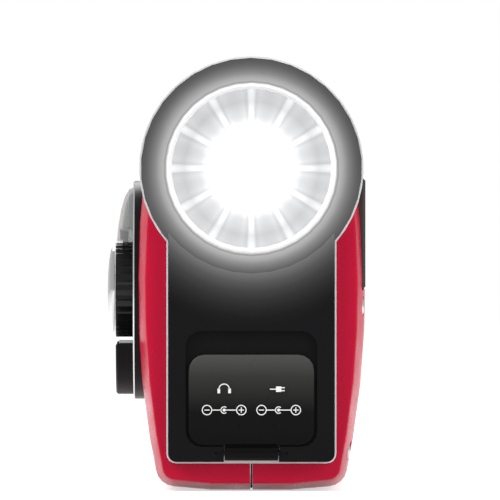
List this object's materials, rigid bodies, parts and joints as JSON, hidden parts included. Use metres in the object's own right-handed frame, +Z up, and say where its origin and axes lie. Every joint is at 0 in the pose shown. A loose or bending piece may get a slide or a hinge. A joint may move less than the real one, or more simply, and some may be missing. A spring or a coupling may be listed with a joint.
{
  "type": "weather radio",
  "caption": "hand cranked weather radio: red clamshell case, lamp end with port cover, tuning dial, speaker, folding crank and gear train, battery bay, telescoping antenna, handle",
  "frame": {"origin": "middle of the outline on the floor, under the middle of the length and depth", "axes": "+X along the case towards the lamp end, +Y towards the back with the crank, -Y the dial side, +Z up"},
  "size_m": [0.1916, 0.0772, 0.1295],
  "materials": {
    "red_plastic": "glossy injection moulded red",
    "black_gloss": "glossy black",
    "black_satin": "satin black",
    "black_matte": "matt black",
    "rubber": "soft ribbed rubber",
    "seal_white": "milky white seal",
    "chrome": "bright plated",
    "steel": "plain steel",
    "clear_plastic": "clear",
    "smoked_plastic": "smoked clear",
    "reflector_silver": "vacuum plated facets",
    "led_white": "white base with a lit dome",
    "light_red": "translucent red",
    "dial_print": "printed dial",
    "pointer_red": "red enamel",
    "paper_black": "black paper cone",
    "button_grey": "satin grey",
    "board_green": "green solder mask",
    "gear_white": "natural white nylon",
    "cell_sleeve": "plain dark sleeve",
    "pack_sleeve": "blue shrink sleeve",
    "ferrite": "sintered ferrite"
  },
  "bodies": {
    "case": {"front_shell": "red_plastic", "rear_shell": "red_plastic", "case_screw_1": "steel", "case_screw_2": "steel", "case_screw_3": "steel", "case_screw_4": "steel", "cap_gasket": "seal_white", "end_cap": "black_gloss", "cover_pin": "steel", "phone_jack": "black_matte", "dc_jack": "black_matte", "lens_ring": "chrome", "lens": "clear_plastic", "reflector": "reflector_silver", "lamp_led": "led_white", "tail_head": "black_gloss", "siren_speaker": "black_matte", "carry_handle": "black_gloss", "handle_grip": "rubber", "dial_pod": "black_gloss", "dial_trim": "chrome", "dial_plate": "dial_print", "dial_window": "smoked_plastic", "tuning_capacitor": "black_matte", "speaker_grille": "black_satin", "speaker_cone": "paper_black", "speaker_basket": "steel", "control_board": "board_green", "indicator_lights": "light_red", "main_board": "board_green", "crank_dish": "black_satin", "dynamo_body": "steel", "gear_frame": "steel", "battery_tray": "black_matte", "aa_cells": "cell_sleeve", "antenna_mount": "black_gloss", "antenna_rest": "black_gloss", "ferrite_rod": "ferrite", "rechargeable_pack": "pack_sleeve"},
    "port_cover": {"port_cover": "black_gloss"},
    "battery_door": {"battery_door": "red_plastic"},
    "tuning": {"tuning_knob": "black_satin", "knob_cap": "chrome"},
    "pointer": {"dial_pointer": "pointer_red"},
    "selector": {"band_selector": "chrome"},
    "volume": {"volume_knob": "black_satin"},
    "alert": {"alert_button": "button_grey"},
    "lamp_slide": {"light_switch": "button_grey"},
    "crank": {"crank_arm": "black_satin", "drive_gear": "gear_white"},
    "carrier": {"knob_carrier": "steel"},
    "grip": {"crank_grip": "black_matte"},
    "idler": {"idler_gear": "gear_white"},
    "rotor": {"dynamo_rotor": "steel"},
    "antenna_base": {"antenna_knuckle": "chrome"},
    "mast": {"antenna_tube_1": "chrome"},
    "tube_2": {"antenna_tube_2": "chrome"},
    "tube_3": {"antenna_tube_3": "chrome"},
    "tip": {"antenna_tip": "chrome"}
  },
  "joints": [
    {"name": "port_cover_hinge", "type": "hinge", "parent": "case", "child": "port_cover", "pos_m": [0.09115, 0.0046, 0.0114], "axis": [0, 1, 0], "range_deg": [0, 100]},
    {"name": "battery_door_pull", "type": "slide", "parent": "case", "child": "battery_door", "axis": [0, 1, 0], "range_m": [0, 0.03]},
    {"name": "tuning_turn", "type": "hinge", "parent": "case", "child": "tuning", "pos_m": [0.04235, 0.0046, 0.0594], "axis": [0, 1, 0], "range_deg": [-270, 270]},
    {"name": "pointer_sweep", "type": "hinge", "parent": "case", "child": "pointer", "pos_m": [0.04235, 0.0046, 0.0594], "axis": [0, 1, 0], "range_deg": [-56, 56]},
    {"name": "selector_turn", "type": "hinge", "parent": "case", "child": "selector", "pos_m": [0.04235, 0.0046, 0.0594], "axis": [0, 1, 0], "range_deg": [-18, 18]},
    {"name": "volume_turn", "type": "hinge", "parent": "case", "child": "volume", "pos_m": [-0.00215, 0.0046, 0.07], "axis": [0, 1, 0], "range_deg": [-140, 140]},
    {"name": "alert_press", "type": "slide", "parent": "case", "child": "alert", "axis": [0, 1, 0], "range_m": [0, 0.001], "stiffness_N_per_m": 300, "springref_m": -0.001},
    {"name": "lamp_switch_slide", "type": "slide", "parent": "case", "child": "lamp_slide", "axis": [1, 0, 0], "range_m": [0, 0.006]},
    {"name": "crank_spin", "type": "hinge", "parent": "case", "child": "crank", "pos_m": [-0.03765, 0.0046, 0.05], "axis": [0, 1, 0], "continuous": true},
    {"name": "knob_fold", "type": "hinge", "parent": "crank", "child": "carrier", "pos_m": [-0.01065, 0.0332, 0.05], "axis": [0, 0, -1], "range_deg": [0, 90]},
    {"name": "grip_spin", "type": "hinge", "parent": "carrier", "child": "grip", "pos_m": [-0.03765, 0.0332, 0.05], "axis": [1, 0, 0], "continuous": true},
    {"name": "idler_spin", "type": "hinge", "parent": "case", "child": "idler", "pos_m": [-0.01063, 0.0046, 0.0344], "axis": [0, 1, 0], "continuous": true},
    {"name": "rotor_spin", "type": "hinge", "parent": "case", "child": "rotor", "pos_m": [-0.00563, 0.0046, 0.06276], "axis": [0, 1, 0], "continuous": true},
    {"name": "antenna_turn", "type": "hinge", "parent": "case", "child": "antenna_base", "pos_m": [0.05335, 0.0342, 0.0972], "axis": [0, 0, -1], "range_deg": [0, 120]},
    {"name": "antenna_lift", "type": "hinge", "parent": "antenna_base", "child": "mast", "pos_m": [0.05335, 0.0342, 0.0972], "axis": [0, 1, 0], "range_deg": [0, 90]},
    {"name": "tube_2_slide", "type": "slide", "parent": "mast", "child": "tube_2", "axis": [-1, 0, 0], "range_m": [0, 0.1]},
    {"name": "tube_3_slide", "type": "slide", "parent": "tube_2", "child": "tube_3", "axis": [-1, 0, 0], "range_m": [0, 0.1]},
    {"name": "tip_slide", "type": "slide", "parent": "tube_3", "child": "tip", "axis": [-1, 0, 0], "range_m": [0, 0.1]}
  ],
  "couplings": [
    {"joint": "pointer_sweep", "follows": "tuning_turn", "ratio": 0.2037},
    {"joint": "idler_spin", "follows": "crank_spin", "ratio": -3.3333},
    {"joint": "rotor_spin", "follows": "crank_spin", "ratio": 10}
  ]
}
